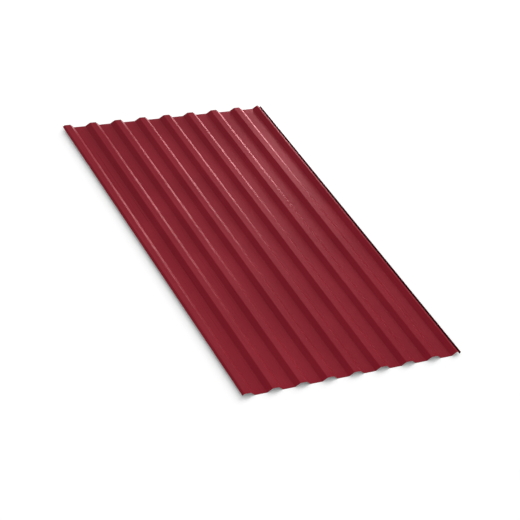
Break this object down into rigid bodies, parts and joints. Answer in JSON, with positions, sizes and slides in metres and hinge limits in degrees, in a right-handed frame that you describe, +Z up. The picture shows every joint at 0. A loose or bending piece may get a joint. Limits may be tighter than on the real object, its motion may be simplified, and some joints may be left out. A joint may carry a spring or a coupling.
{
  "type": "trapezoidal roofing sheet",
  "caption": "Roll-formed trapezoidal steel roofing and wall sheet, painted wine red, with flat-topped ribs, flat valleys, a lapping skirt on one edge and a drain channel on the other.",
  "frame": {"origin": "under the middle of the sheet, at the level of the valleys' undersides", "axes": "+X across the ribs towards the drain channel, +Y along the ribs, +Z up through the sheet"},
  "size_m": [1.1334, 2, 0.0185],
  "materials": {
    "coated_steel": "semi-gloss wine-red polyester coating on galvanised steel, grey back coat"
  },
  "bodies": {
    "root": {"profiled_sheet": "coated_steel"}
  },
  "joints": []
}
